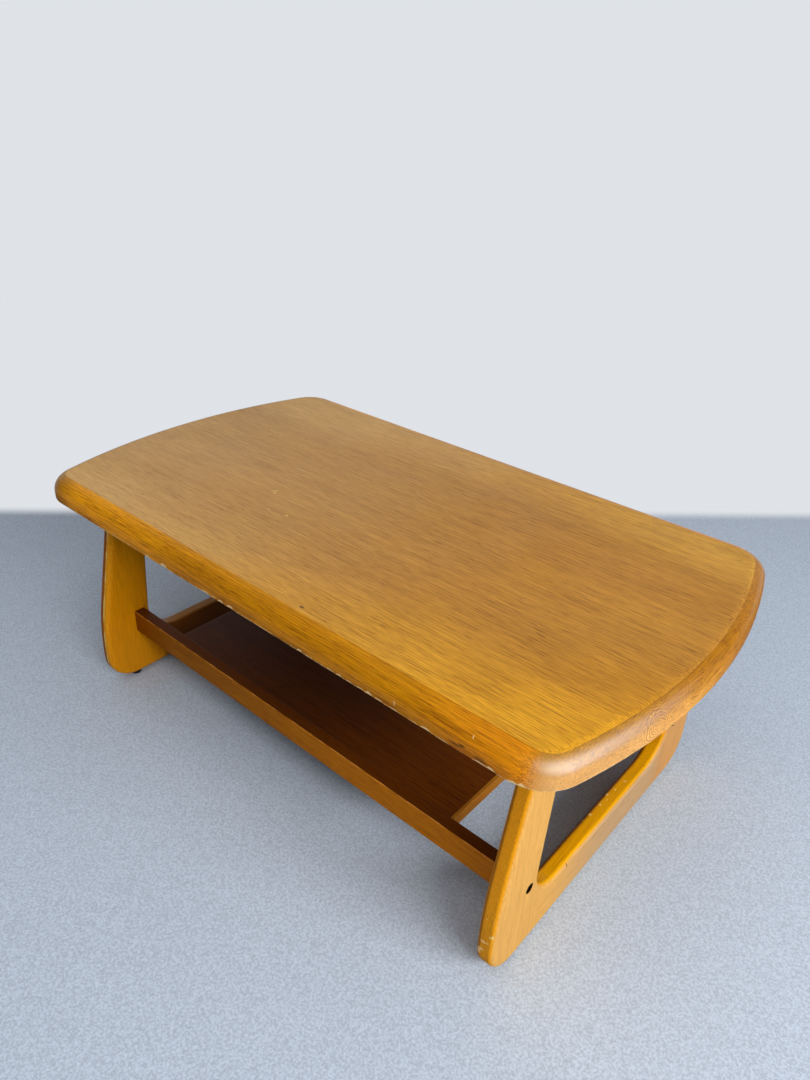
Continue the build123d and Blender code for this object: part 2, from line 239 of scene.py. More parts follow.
SMALL_CHIPS = 46
SMALL_RANGES = [(-430, 470), (2, 6), (0.8, 2.2), (0.3, 0.7)]    # of the same four measures

# Form of every chip
CHIP_HALF_LENGTH = 0.75       # reach to each side of its place, as a share of its length
CHIP_HEIGHT = 1.3             # reach up from the underside, as a share of its height
CHIP_UNDER = 0.6              # what a step in under the slab counts for, against a step up
CHIP_STEEPNESS = 2.2          # how soon the full dent is reached from the chip's border
CHIP_DENT = 0.3               # how far the edge goes in, as a share of the chip's depth
CHIP_LIFT = 0.1               # how far the arris goes up, as a share of the chip's depth
BARE_LAYER = "bare"           # vertex attribute that says how bare the wood is


def edge_chips():
    """The placed chips and a sprinkling of small ones, in metres."""
    draw = random.Random(CHIP_SEED)
    chips = list(EDGE_CHIPS)
    for _ in range(SMALL_CHIPS):
        chips.append([draw.uniform(low, high) for low, high in SMALL_RANGES])
    return [[value * MM for value in chip] for chip in chips]


def wear_edge(bm):
    """Dents the front's lower edge at its chips and records how bare the wood is there."""
    chip_layer = bm.verts.layers.float.new(BARE_LAYER)
    chips = edge_chips()
    for vert in bm.verts:
        if vert.co.y > -HALF_WIDTH + CORNER_RADIUS or vert.co.z > TOP_Z - RIM_DROP:
            continue
        up = vert.co.z - UNDER_Z
        inset = vert.co.y + HALF_WIDTH
        for place, length, height, depth in chips:
            along = (vert.co.x - place) / (length * CHIP_HALF_LENGTH)
            across = (up + inset * CHIP_UNDER) / (height * CHIP_HEIGHT)
            inside = 1 - along * along - across * across
            if inside <= 0:
                continue
            strength = min(1, inside * CHIP_STEEPNESS)
            vert.co.y += depth * strength * CHIP_DENT
            vert.co.z += depth * strength * CHIP_LIFT if up < ARRIS else 0
            vert[chip_layer] = max(vert[chip_layer], inside)


# ---------------------------------------------------------------- procedural materials

MIX_COLOUR_INPUTS = (0, 6, 7)    # a Mix node's factor and its two colours
MIX_COLOUR_OUTPUT = 2
WHITE = (1.0, 1.0, 1.0)
GRAIN_SWING = (0.86, 1.05, 1.25)    # how much each channel follows the grain's light and dark


class Graph:
    """Makes and links the nodes of one shader tree."""

    def __init__(self, tree):
        self.tree = tree

    def put(self, socket, value):
        """Links a socket to an output, or sets its value."""
        if isinstance(value, bpy.types.NodeSocket):
            self.tree.links.new(value, socket)
        elif isinstance(value, (tuple, list)) and len(socket.default_value) == 4:
            socket.default_value = (*value, 1.0)
        else:
            socket.default_value = value

    def node(self, kind, **inputs):
        """A new node with some of its inputs set by name."""
        made = self.tree.nodes.new(kind)
        for key, value in inputs.items():
            self.put(made.inputs[key], value)
        return made

    def math(self, operation, *values):
        made = self.tree.nodes.new("ShaderNodeMath")
        made.operation = operation
        for socket, value in zip(made.inputs, values):
            self.put(socket, value)
        return made.outputs[0]

    def span(self, value, low, high, start=0.0, end=1.0):
        """Smooth step of value from low to high."""
        made = self.tree.nodes.new("ShaderNodeMapRange")
        made.interpolation_type = "SMOOTHSTEP"
        for key, number in (("Value", value), ("From Min", low), ("From Max", high)):
            self.put(made.inputs[key], number)
        made.inputs["To Min"].default_value = start
        made.inputs["To Max"].default_value = end
        return made.outputs["Result"]

    def blend(self, share, first, second):
        """Number between first (share 0) and second (share 1)."""
        return self.math("MULTIPLY_ADD", share, self.math("SUBTRACT", second, first), first)

    def vector(self, operation, *values):
        made = self.tree.nodes.new("ShaderNodeVectorMath")
        made.operation = operation
        for socket, value in zip(made.inputs, values):
            self.put(socket, value)
        return made.outputs["Value" if operation in ("LENGTH", "DOT_PRODUCT") else "Vector"]

    def both(self, first, second):
        """Share where two masks hold together."""
        return self.math("MULTIPLY", first, second)

    def mix(self, share, first, second, blend="MIX"):
        """Colour between first (share 0) and second (share 1)."""
        made = self.tree.nodes.new("ShaderNodeMix")
        made.data_type = "RGBA"
        made.blend_type = blend
        for index, value in zip(MIX_COLOUR_INPUTS, (share, first, second)):
            self.put(made.inputs[index], value)
        return made.outputs[MIX_COLOUR_OUTPUT]

    def tint(self, share, colour, factors):
        """A colour whose channels are multiplied by factors where a mask holds."""
        return self.mix(share, colour, factors, "MULTIPLY")


class Finish(Graph):
    """One procedural material on object coordinates in metres."""

    def __init__(self, name):
        self.material = bpy.data.materials.new(name)
        self.material.use_nodes = True
        super().__init__(self.material.node_tree)
        self.shader = self.tree.nodes["Principled BSDF"]
        self.place = self.node("ShaderNodeTexCoord").outputs["Object"]
        split = self.node("ShaderNodeSeparateXYZ", Vector=self.place)
        self.x, self.y, self.z = split.outputs
        normal = self.node("ShaderNodeNewGeometry").outputs["Normal"]
        split = self.node("ShaderNodeSeparateXYZ", Vector=normal)
        self.normal_x, self.normal_y, self.normal_z = split.outputs
        self.height = 0.0
        self.colour = (0.5, 0.5, 0.5)
        self.roughness = 0.5

    def noise(self, stretch, detail=2.0, rough=0.5, warp=0.0, seed=0.0):
        """Noise from 0 to 1; stretch is how many features a metre holds along X, Y and Z.

        Detail, rough and warp are the texture's own Detail, Roughness and Distortion. The seed moves
        the pattern by unlike steps on the three axes, so that no two look the same."""
        offset = (seed, seed * 1.7 + 3.1, seed * 2.3 + 7.7)
        mapping = self.node("ShaderNodeMapping", Vector=self.place, Location=offset, Scale=stretch)
        made = self.node("ShaderNodeTexNoise", Vector=mapping.outputs[0], Scale=1.0, Detail=detail,
                         Roughness=rough, Distortion=warp)
        return made.outputs[0]

    def grained(self, colour, value):
        """A colour made lighter or darker by a value about 1; the dark is redder, as in wood."""
        swing = self.math("SUBTRACT", value, 1.0)
        shares = self.vector("MULTIPLY_ADD", swing, GRAIN_SWING, WHITE)
        return self.vector("MULTIPLY", colour, shares)

    def reach(self, place, size, angle=0):
        """Distance from the middle of an ellipsoid, 1 on its skin. Millimetres and degrees about Z."""
        made = self.node("ShaderNodeMapping", Vector=self.place)
        made.vector_type = "TEXTURE"
        made.inputs["Location"].default_value = [value * MM for value in place]
        made.inputs["Rotation"].default_value = (0, 0, math.radians(angle))
        made.inputs["Scale"].default_value = [value * MM / 2 for value in size]
        return self.vector("LENGTH", made.outputs[0])

    def mark(self, place, size, angle, colour, strength=1.0):
        """Paints a small worn or dark place, at full strength over the inner part of its size."""
        share = self.span(self.reach(place, size, angle), 1.0, 0.45, 0.0, strength)
        self.colour = self.mix(share, self.colour, colour)

    def done(self, bump=0.3, depth=0.4 * MM, level=0.5):
        """Joins colour, roughness and height to the shader; level is its specular level."""
        self.put(self.shader.inputs["Base Color"], self.colour)
        self.put(self.shader.inputs["Roughness"], self.roughness)
        self.shader.inputs["Specular IOR Level"].default_value = level
        made = self.node("ShaderNodeBump", Strength=bump, Distance=depth, Height=self.height)
        self.put(self.shader.inputs["Normal"], made.outputs[0])
        return self.material


def linear(red, green, blue):
    """An sRGB colour, 0 to 255, as linear numbers."""
    shares = [value / 255 for value in (red, green, blue)]
    return tuple(s / 12.92 if s <= 0.04045 else ((s + 0.055) / 1.055) ** 2.4 for s in shares)


def grain(axis, along, across):
    """Feature counts per metre for a noise drawn out along one axis."""
    return tuple(along if letter == axis else across for letter in "XYZ")


def shade(colour, factor):
    """A colour made lighter or darker as a whole."""
    return tuple(min(1.0, channel * factor) for channel in colour)


# Weights of the grain's layers in its tone, and the mean that they add up to
BROAD_WEIGHT = 0.35
BAND_WEIGHT = 0.36
STREAK_WEIGHT = 0.25
LINE_WEIGHT = 1.9
PORE_WEIGHT = -0.40
MEAN_TONE = 1.33
DARKEST, LIGHTEST = 0.30, 1.5
LINE_HEIGHT = 0.5             # relief of the lines and the pores, as shares of the bump's depth
PORE_HEIGHT = -0.7


def grain_value(finish, axis, seed, depth=1.0, lines=1250, bands=14):
    """Light and dark of the grain along one axis, about 1, and its surface height.

    Depth is its contrast; lines and bands are how many a metre holds across the grain."""
    broad = finish.noise(grain(axis, 1.1, bands), 2.0, 0.5, 0.4, seed)
    band = finish.noise(grain(axis, 5, bands * 6), 3.0, 0.6, 0.3, seed + 1)
    streak = finish.noise(grain(axis, 12, lines * 0.32), 2.0, 0.6, 0.2, seed + 3)
    line = finish.noise(grain(axis, 13, lines), 2.0, 0.6, 0.1, seed + 2)
    pores = finish.noise(grain(axis, 48, lines * 1.1), 1.0, 0.5, 0.0, seed + 5)
    pores = finish.span(pores, 0.55, 0.66)
    tone = finish.math("MULTIPLY", band, BAND_WEIGHT)
    layers = ((broad, BROAD_WEIGHT), (streak, STREAK_WEIGHT), (line, LINE_WEIGHT), (pores, PORE_WEIGHT))
    for layer, weight in layers:
        tone = finish.math("MULTIPLY_ADD", layer, weight, tone)
    value = finish.math("MULTIPLY_ADD", finish.math("SUBTRACT", tone, MEAN_TONE), depth, 1.0)
    value = finish.math("MINIMUM", finish.math("MAXIMUM", value, DARKEST), LIGHTEST)
    height = finish.math("MULTIPLY_ADD", pores, PORE_HEIGHT, finish.math("MULTIPLY", line, LINE_HEIGHT))
    return value, height


def bare_wood(name, axis, seed, depth=1.0, gloss=0.42, lines=1250, bands=14):
    """Wood with its grain along one axis, still without its colour."""
    finish = Finish(name)
    finish.value, finish.height = grain_value(finish, axis, seed, depth, lines, bands)
    cloud = finish.noise((9, 9, 9), 2.0, 0.5, 0.3, seed + 9)
    finish.roughness = finish.math("MULTIPLY_ADD", cloud, 0.2, gloss - 0.1)
    return finish


def wood(name, axis, tone, seed):
    """Wood of one mean colour."""
    finish = bare_wood(name, axis, seed)
    finish.colour = finish.grained(tone, finish.value)
    return finish


AMBER = linear(192, 122, 2)
HONEY = linear(231, 173, 90)
ROSE = linear(202, 161, 115)
BARE = linear(255, 212, 146)
PALE = linear(255, 218, 128)
STAIN = linear(84, 46, 14)
# dark marks, and painted shade in the bolt recesses
SOOT_AND_SHADE = linear(30, 20, 12)

# Small marks, in millimetres: place, size, turn about Z in degrees, colour, strength
TOP_MARKS = [
    ((-172, -75, 410), (15, 2.4, 4), 62, PALE, 0.8),
    ((-167, -80, 410), (9, 2.2, 4), -18, PALE, 0.7),
    ((-97, -118, 410), (8, 3.4, 4), 10, PALE, 0.8),
    ((-132, -123, 410), (6, 2.5, 4), 0, PALE, 0.5),
    ((98, -267, 410), (10, 5.5, 4), 0, STAIN, 0.8),
    ((79, -279, 410), (26, 3.5, 4), 0, STAIN, 0.45),
    ((229, -283, 410), (34, 3, 4), 0, STAIN, 0.4),
    ((344, -109, 410), (22, 3, 4), -4, STAIN, 0.6),
    ((337, -103, 410), (14, 2.5, 4), -4, STAIN, 0.4),
    ((451, 243, 410), (16, 2, 4), 55, STAIN, 0.5),
    ((471, 233, 410), (14, 2, 4), 40, STAIN, 0.5),
    ((477, 63, 410), (12, 3, 4), 10, STAIN, 0.55),
    ((499, 88, 410), (14, 3, 4), 75, STAIN, 0.55),
    ((430, -280, 408), (16, 4.5, 8), -12, STAIN, 0.55),
    ((-352, 40, 410), (60, 1.8, 4), 68, STAIN, 0.22),
    ((-250, -20, 410), (44, 1.6, 4), 60, STAIN, 0.2),
    ((20, -10, 410), (20, 4, 4), 0, STAIN, 0.22),
    ((-20, 80, 410), (26, 4, 4), 0, STAIN, 0.18),
]
RIM_MARKS = [
    ((374, -299, 385), (12, 8, 5), 0, SOOT_AND_SHADE, 0.7),
    ((365, -299, 382), (24, 8, 6), 0, STAIN, 0.5),
    ((384, -295, 400), (2.0, 6, 6), 20, BARE, 0.8),
    ((281, -299, 386), (3, 8, 9), 0, BARE, 0.8),
    ((398, -299, 381), (22, 8, 9), 0, STAIN, 0.55),
    ((512, 39, 404), (5, 12, 6), 60, STAIN, 0.6),
    ((508, -60, 405), (4, 20, 6), 0, STAIN, 0.3),
]
# Plain-sawn swirls on the right end lipping, in millimetres: place, size of the whole figure
SWIRLS = [
    ((515, -138, 392), (60, 78, 58)),
    ((519, -55, 398), (46, 96, 50)),
    ((497, 158, 404), (40, 110, 44)),
    ((505, 120, 400), (30, 60, 40)),
]
SWIRL_RINGS = 0.85            # radians of its rings for each millimetre of a figure's length
SWIRL_STRENGTH = 0.40

# Where a finish below changes, places are metres in the part's frame: x towards the near end,
# y towards the back and z up. Colours are written as linear(red, green, blue).


def veneer_finish():
    """The top: tan at the left and back, paled there by painted sheen, and gold towards the front and
    the near end, brighter there as painted light.
    """
    tan = linear(192, 146, 86)
    brown = linear(180, 124, 46)
    gold = linear(198, 136, 28)
    finish = bare_wood("top_veneer", "X", seed=1.0, gloss=0.45, bands=12)
    drift = finish.math("SUBTRACT", finish.noise((4, 7, 4), 3.0, 0.6, 0.5, seed=3.0), 0.5)
    # painted sheen: paler tan towards the left
    painted_sheen = finish.span(finish.math("MULTIPLY_ADD", drift, 0.3, finish.x), 0.28, -0.42)
    mean = finish.mix(painted_sheen, brown, tan)
    # painted light: brighter, richer gold towards the front and the near end
    near = finish.math("MULTIPLY_ADD", finish.x, 0.40, finish.math("MULTIPLY", finish.y, -1))
    painted_light_gold = finish.span(finish.math("MULTIPLY_ADD", drift, 0.10, near), 0.20, 0.44)
    mean = finish.mix(painted_light_gold, mean, gold)
    off_middle = finish.math("MULTIPLY_ADD", drift, 0.12, finish.math("ABSOLUTE", finish.y))
    rubbed = finish.span(off_middle, 0.13, 0.27)
    mean = finish.tint(rubbed, mean, (1.14, 1.20, 1.22))
    right = finish.both(finish.span(finish.x, 0.05, 0.30), finish.span(finish.y, -0.24, -0.10))
    mean = finish.tint(right, mean, (0.98, 0.96, 0.84))
    back_right = finish.both(finish.span(finish.x, 0.10, 0.34), finish.span(finish.y, 0.10, 0.24))
    mean = finish.tint(back_right, mean, (1.07, 1.16, 1.25))
    contrast = finish.span(finish.x, 0.25, -0.30, 1.15, 0.72)
    value = finish.math("MULTIPLY_ADD", finish.math("SUBTRACT", finish.value, 1.0), contrast, 1.0)
    finish.colour = finish.grained(mean, finish.math("MULTIPLY_ADD", drift, 0.34, value))
    for mark in TOP_MARKS:
        finish.mark(*mark)
    return finish


def rim_turn(finish):
    """How far round a corner of the slab: 0 on the bowed ends, a quarter turn on the long sides."""
    past = []
    for place, corner in zip((finish.x, finish.y), corner_centre()):
        beyond = finish.math("SUBTRACT", finish.math("ABSOLUTE", place), corner)
        past.append(finish.math("MAXIMUM", beyond, 0))
    along, across = past
    return finish.math("ARCTAN2", across, along)


def rim_grain(finish, turn):
    """Grain of the rim, swirling on the ends: sets its height and returns its light and dark."""
    side_value, side_height = grain_value(finish, "X", seed=4.0, depth=1.25, lines=1100, bands=20)
    end_value, end_height = grain_value(finish, "Y", seed=6.0, depth=0.95, lines=1100, bands=16)
    drift = finish.noise((26, 26, 26), 3.0, 0.55, 0.5, seed=8.0)
    for place, size in SWIRLS:
        reach = finish.math("MULTIPLY_ADD", drift, 0.8, finish.reach(place, size))
        rings = finish.math("SINE", finish.math("MULTIPLY", reach, size[1] * SWIRL_RINGS))
        share = finish.span(reach, 1.35, 0.85, 0.0, SWIRL_STRENGTH)
        end_value = finish.math("MULTIPLY_ADD", rings, share, end_value)
    side_share = finish.span(turn, math.radians(35), math.radians(75))
    finish.height = finish.blend(side_share, end_height, side_height)
    return finish.blend(side_share, end_value, side_value)


def end_rim_tone(finish, band):
    """Mean colour of the bowed ends: lit honey on the upright band and darker gold on the round above
    it as painted light, with painted shade darkening the band towards the back.
    """
    # painted shade: the band darkens towards the back
    painted_shade_back = finish.span(finish.y, -0.10, 0.12)
    lit_band_tone = finish.mix(painted_shade_back, linear(224, 164, 90), linear(186, 124, 40))
    # painted light: the upright band lighter than the round above it
    tone = finish.mix(band, linear(168, 114, 10), lit_band_tone)
    tone = finish.tint(finish.span(finish.y, -0.22, 0.02), tone, (0.98, 0.86, 0.36))
    return finish.tint(finish.span(finish.y, -0.10, -0.24), tone, (0.94, 0.95, 1.0))


def side_rim_tone(finish, band):
    """Mean colour of the long sides: amber, paler left of the middle, brighter towards the near end as
    painted light, with grime low on the band.
    """
    left = finish.both(finish.span(finish.x, -0.05, -0.30), finish.span(finish.x, -0.50, -0.38))
    tone = finish.tint(left, AMBER, (1.36, 1.38, 1.44))
    # painted light: brighter towards the near end
    tone = finish.tint(finish.span(finish.x, 0.28, 0.42), tone, (1.22, 1.08, 1.0))
    tone = finish.tint(finish.span(finish.x, -0.38, -0.45), tone, (0.62, 0.62, 0.9))
    tone = finish.tint(finish.math("SUBTRACT", 1.0, band), tone, (0.95, 0.98, 1.0))
    tone = finish.tint(band, tone, (1.16, 1.12, 1.0))
    grime = finish.span(finish.noise((14, 14, 60), 3.0, 0.6, 0.3, seed=23.0), 0.46, 0.62)
    grime = finish.both(grime, finish.span(finish.z, UNDER_Z + 13 * MM, UNDER_Z + 4 * MM))
    return finish.tint(grime, tone, (0.72, 0.62, 0.5))


def draw_glue_line(finish):
    """Thin, broken dark line where the veneer stops, on the ends."""
    _, line_z = dome(dome_angle(END_SEAM))
    seam = finish.span(finish.z, line_z - 0.32 * MM, line_z - 0.12 * MM)
    broken = finish.noise((60, 60, 60), 2.0, 0.6, 0.0, seed=21.0)
    seam = finish.both(seam, finish.span(broken, 0.40, 0.60, 0.0, 0.5))
    seam = finish.both(seam, finish.span(finish.math("ABSOLUTE", finish.y), 0.26, 0.16))
    finish.colour = finish.mix(seam, finish.colour, STAIN)


def rub_lower_edge(finish):
    """Bare wood in ragged patches along the rim's lower edge."""
    low = finish.span(finish.z, UNDER_Z + 5.5 * MM, UNDER_Z + 1.0 * MM)
    patch = finish.noise((16, 16, 16), 2.0, 0.5, 0.3, seed=14.0)
    patch = finish.math("MULTIPLY", finish.math("SUBTRACT", patch, 0.5), 0.5)
    ragged = finish.noise((150, 150, 260), 3.0, 0.65, 0.4, seed=15.0)
    ragged = finish.math("ADD", ragged, patch)
    rubbed = finish.span(finish.math("MULTIPLY_ADD", low, 0.26, ragged), 0.69, 0.74)
    finish.colour = finish.mix(finish.both(rubbed, low), finish.colour, BARE)


def bare_chips(finish):
    """Bare wood, with a crumbly border, in the chips that the mesh records."""
    attribute = finish.node("ShaderNodeAttribute")
    attribute.attribute_name = BARE_LAYER
    chip = attribute.outputs["Fac"]
    crumbs = finish.noise((260, 260, 420), 2.0, 0.6, 0.2, seed=25.0)
    crumbs = finish.span(finish.math("MULTIPLY_ADD", crumbs, 0.9, chip), 0.56, 0.68)
    crumbs = finish.both(crumbs, finish.span(chip, 0.01, 0.08))
    finish.colour = finish.mix(crumbs, finish.colour, BARE)


def rim_finish(name):
    """The solid rim: amber long grain on the sides, swirling honey on the ends, a worn lower edge."""
    finish = Finish(name)
    turn = rim_turn(finish)
    value = rim_grain(finish, turn)
    band = finish.span(finish.z, TOP_Z - RIM_DROP * 0.35, TOP_Z - RIM_DROP)
    amber = finish.span(turn, math.radians(48), math.radians(78))
    mean = finish.mix(amber, end_rim_tone(finish, band), side_rim_tone(finish, band))
    finish.colour = finish.grained(mean, value)
    # painted shade: faces that look down, under the rim, are darkened
    below = finish.span(finish.normal_z, -0.75, -0.98)
    finish.colour = finish.tint(below, finish.colour, (0.40, 0.36, 0.34))
    draw_glue_line(finish)
    rub_lower_edge(finish)
    for mark in RIM_MARKS:
        finish.mark(*mark)
    bare_chips(finish)
    cloud = finish.noise((12, 12, 12), 2.0, 0.5, 0.3, seed=9.0)
    dull = finish.span(finish.y, 0.0, -0.12, 0.20, 0.32)
    finish.roughness = finish.math("MULTIPLY_ADD", cloud, 0.16, dull)
    return finish


FRAME_MARKS = [
    ((431, -104, 72), (8, 4, 12), 0, SOOT_AND_SHADE, 0.6),
    ((411.5, -9, 75), (6, 7, 6), 20, PALE, 0.8),
    ((413, 17.5, 75), (5, 6, 6), 0, PALE, 0.8),
    ((411, 42, 75), (5, 8, 6), 15, PALE, 0.8),
    ((415, 59, 75), (4, 6, 6), 0, PALE, 0.8),
    ((418, 84, 75), (5, 5, 6), 0, PALE, 0.7),
    ((409, -25, 74), (4, 5, 5), 0, PALE, 0.7),
    ((416, 33, 75), (3, 4, 5), 0, PALE, 0.7),
    ((427, -273, 93), (5, 6, 9), 0, PALE, 0.9),
    ((424, -273, 91), (6, 6, 4), 0, PALE, 0.8),
    ((413, -272, 61), (12, 8, 6), 0, BARE, 0.9),
    ((410, -272, 55), (7, 8, 15), 0, BARE, 0.9),
    ((415, -273, 76), (11, 6, 5), 0, BARE, 0.9),
    ((421, -273, 78), (5, 6, 3), 0, PALE, 0.8),
    ((425, -273, 118), (4, 6, 4), 0, PALE, 0.8),
    ((419, -273, 125), (3, 6, 4), 0, PALE, 0.7),
    ((415, -273, 116), (3, 6, 5), 0, PALE, 0.7),
    ((418, -273, 140), (3, 6, 3), 0, PALE, 0.6),
]


def flank_tone(finish, outward, far, low):
    """Mean colour of the frames' narrow faces: amber, browner inwards and on the far foot rail as
    painted shade.
    """
    off_middle = finish.math("ABSOLUTE", finish.y)
    upright = finish.span(finish.z, 0.075, 0.12)
    upright = finish.math("MAXIMUM", upright, finish.span(off_middle, 0.20, 0.24))
    near_tone = finish.mix(upright, linear(248, 176, 2), linear(255, 168, 4))
    # painted shade: browner where the flank turns inwards
    near_tone = finish.mix(finish.span(outward, 0.30, -0.5), near_tone, linear(160, 92, 2))
    # painted shade: browner low between the far frame's legs
    far_tone = finish.mix(low, linear(238, 156, 4), linear(170, 116, 54))
    return finish.mix(far, near_tone, far_tone)


def frame_tone(finish, outward, far, seed):
    """Mean colour of an end frame, with painted light: lit honey outer faces, shaded amber flanks and
    inner faces, and painted shade dark brown low inside between the legs.
    """
    # painted shade: dark brown low on the inside between the legs
    painted_shade_between_legs = finish.span(finish.math("ABSOLUTE", finish.y), 0.175, 0.150)
    low = finish.both(painted_shade_between_legs, finish.span(finish.z, 0.12, 0.10))
    outer = finish.mix(finish.span(finish.y, -0.17, 0.02), HONEY, ROSE)
    outer = finish.mix(finish.span(finish.y, 0.14, 0.20), outer, linear(216, 156, 90))
    drift = finish.noise((22, 22, 22), 2.0, 0.5, 0.3, seed + 3)
    # painted light: the outer faces a lit honey, the rest a shaded amber
    lit_outer_share = finish.span(finish.math("MULTIPLY_ADD", drift, 0.3, outward), 0.55, 1.05)
    tone = finish.mix(lit_outer_share, flank_tone(finish, outward, far, low), outer)
    inner = finish.mix(low, linear(232, 148, 2), linear(112, 60, 8))
    return finish.mix(finish.span(outward, -0.3, -0.85), tone, inner)


def shade_and_wear_far_front(finish, mean, far, worn):
    """The far frame's front flank: painted shade on its outer half, with a bright line beside it that
    is partly rubbed wood and partly painted highlight.
    """
    front = finish.both(far, finish.span(finish.normal_y, -0.35, -0.7))
    outer_half = finish.span(finish.x, FRAME_X_FAR + 1 * MM, FRAME_X_FAR - 1 * MM)
    # painted shade on the outer half of the front flank
    mean = finish.tint(finish.both(front, outer_half), mean, (0.42, 0.30, 0.5))
    from_line = finish.math("ABSOLUTE", finish.math("SUBTRACT", finish.x, FRAME_X_FAR + 1 * MM))
    line = finish.both(front, finish.span(from_line, 1.7 * MM, 0.7 * MM))
    # bright line: rubbed wood and painted highlight
    return finish.mix(finish.both(line, worn), mean, linear(255, 230, 134))


def paint_recess_shade(finish):
    """Painted shade inside the connector bolts' recesses."""
    for y in (BOLT_Y, -BOLT_Y):
        across = finish.math("SUBTRACT", finish.y, y)
        up = finish.math("SUBTRACT", finish.z, BOLT_Z)
        from_axis = finish.node("ShaderNodeCombineXYZ", X=across, Y=up).outputs[0]
        inside = finish.span(finish.vector("LENGTH", from_axis), RECESS + 0.6 * MM, RECESS + 0.1 * MM)
        finish.colour = finish.mix(inside, finish.colour, SOOT_AND_SHADE)


def frame_finish(name, axis, seed):
    """The end frames, with rubbed lower arrises on the outer faces, marks and painted shade in the bolt
    recesses.
    """
    finish = bare_wood(name, axis, seed, depth=0.45, gloss=0.40, lines=1200, bands=18)
    outward = finish.math("MULTIPLY", finish.normal_x, finish.math("SIGN", finish.x))
    far = finish.span(finish.x, 0, -0.1)
    worn = finish.span(finish.noise((60, 60, 40), 3.0, 0.6, 0.2, seed=19.0), 0.38, 0.56)
    mean = frame_tone(finish, outward, far, seed)
    mean = shade_and_wear_far_front(finish, mean, far, worn)
    downward = finish.math("MULTIPLY", finish.normal_z, -1)
    arris = finish.math("MULTIPLY", finish.math("MAXIMUM", outward, 0), downward)
    arris = finish.both(finish.span(arris, 0.15, 0.40), worn)
    mean = finish.mix(arris, mean, PALE)
    finish.colour = finish.grained(mean, finish.value)
    for mark in FRAME_MARKS:
        finish.mark(*mark)
    paint_recess_shade(finish)
    return finish


def rail_finish():
    """Long rails: brown, with painted shade darkening the top, the inner faces and the back rail, and a
    pale upper arris on the outside, partly rubbed wood and partly painted highlight.
    """
    finish = bare_wood("rail_wood", "X", seed=7.0)
    outward = finish.math("MULTIPLY", finish.normal_y, finish.math("SIGN", finish.y))
    near = finish.span(finish.x, -0.30, 0.25)
    outer = finish.mix(near, linear(158, 92, 6), linear(190, 110, 4))
    outer = finish.tint(finish.span(finish.x, -0.27, -0.38), outer, (0.70, 0.56, 0.6))
    # painted shade: darker on top
    mean = finish.mix(finish.span(finish.normal_z, 0.55, 0.95), outer, linear(90, 43, 3))
    # painted shade: darker on the inner faces
    mean = finish.mix(finish.span(outward, -0.2, -0.8), mean, linear(60, 30, 4))
    # painted shade: the back rail darker
    mean = finish.tint(finish.span(finish.y, 0, 0.05), mean, (0.42, 0.34, 0.3))
    # pale upper arris: rubbed wood and painted highlight
    arris = finish.span(finish.math("MULTIPLY", outward, finish.normal_z), 0.30, 0.46)
    worn = finish.noise((30, 60, 60), 3.0, 0.6, 0.2, seed=17.0)
    arris = finish.both(arris, finish.span(worn, 0.36, 0.62, 0.1, 0.85))
    mean = finish.mix(arris, mean, linear(226, 150, 64))
    finish.colour = finish.grained(mean, finish.value)
    return finish


def strip_finish():
    """The shelf's end strips: tan at the near end, darkened at the far one."""
    finish = bare_wood("strip_wood", "Y", seed=13.0)
    mean = finish.mix(finish.span(finish.x, 0.1, -0.1), linear(164, 103, 25), linear(84, 42, 8))
    finish.colour = finish.grained(mean, finish.value)
    return finish


def shelf_finish():
    """The shelf panel: dark brown as painted shade from the slab above, a little lighter and redder at
    the near end as painted light.
    """
    finish = bare_wood("shelf_wood", "X", seed=8.0, depth=1.3)
    # painted shade over the whole shelf, with painted light at the near end
    mean = finish.mix(finish.span(finish.x, 0.02, 0.24), linear(77, 35, 3), linear(96, 46, 3))
    finish.colour = finish.grained(mean, finish.value)
    return finish


SIDE_GLEAM = (1.0, 0.8, 0.3, 1.0)     # tint of what the varnished rims mirror
END_GLEAM = (1.0, 0.90, 0.56, 1.0)


def make_finishes():
    """Every material, by the record's slot name or by use."""
    made = {}
    made["top_veneer"] = veneer_finish().done(level=0.22)
    side_rims = rim_finish("side_rim_wood")
    side_rims.shader.inputs["Specular Tint"].default_value = SIDE_GLEAM
    made["side_rims"] = side_rims.done(bump=0.12, level=0.3)
    end_rims = rim_finish("end_rim_wood")
    end_rims.shader.inputs["Specular Tint"].default_value = END_GLEAM
    made["edge_wood"] = end_rims.done(bump=0.12, level=0.35)
    made["leg_wood"] = frame_finish("leg_wood", "Z", 2.0).done(level=0.12)
    made["foot_wood"] = frame_finish("foot_rail_wood", "Y", 3.0).done(level=0.12)
    made["rail_wood"] = rail_finish().done(level=0.06)
    made["strip_wood"] = strip_finish().done(level=0.12)
    made["shelf_wood"] = shelf_finish().done(level=0.08)
    made["core_wood"] = wood("core_wood", "X", linear(185, 141, 88), 11.0).done(level=0.2)
    made["underside_wood"] = wood("underside_wood", "X", linear(112, 68, 40), 14.0).done(level=0.1)
    made["dowel_wood"] = wood("dowel_wood", "Y", linear(216, 187, 140), 12.0).done(level=0.2)
    made["black_steel"] = metal("black_steel", linear(46, 42, 40), 0.42)
    made["zinc_steel"] = metal("zinc_steel", linear(172, 174, 178), 0.32)
    made["glide_plastic"] = plastic("glide_plastic", linear(22, 21, 22))
    return made


